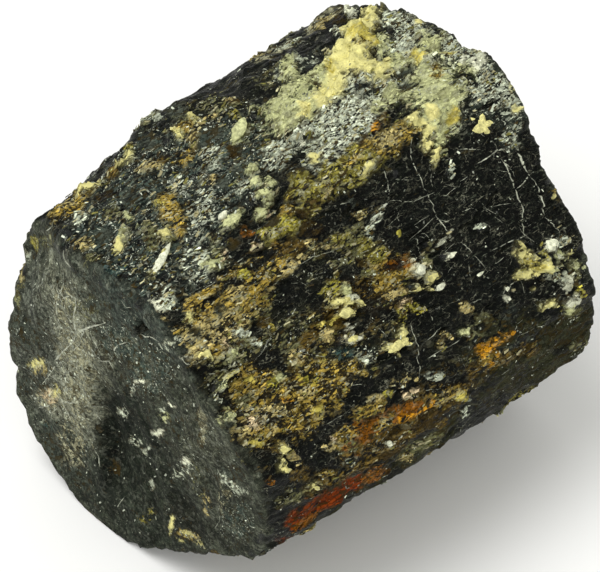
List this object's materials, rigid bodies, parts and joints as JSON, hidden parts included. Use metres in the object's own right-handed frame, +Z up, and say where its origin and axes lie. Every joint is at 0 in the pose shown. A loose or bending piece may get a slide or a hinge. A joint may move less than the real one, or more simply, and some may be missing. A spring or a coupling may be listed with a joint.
{
  "type": "tourmaline crystal",
  "caption": "Stout black tourmaline crystal lying on a prism face, broken across at both ends, with a pale feldspar crust grown on its upper far end.",
  "frame": {"origin": "middle of the crystal's box, on the surface it rests on", "axes": "+X along the prism towards the thicker end with the pale crust, +Z up from the prism face it rests on"},
  "size_m": [0.066, 0.0592, 0.0533],
  "materials": {
    "black_tourmaline": "glossy black where the crystal face is bare, dull grey on the near end, grainy cream, ochre and rust where feldspar and iron stain cover it"
  },
  "bodies": {
    "root": {"tourmaline_crystal": "black_tourmaline"}
  },
  "joints": []
}
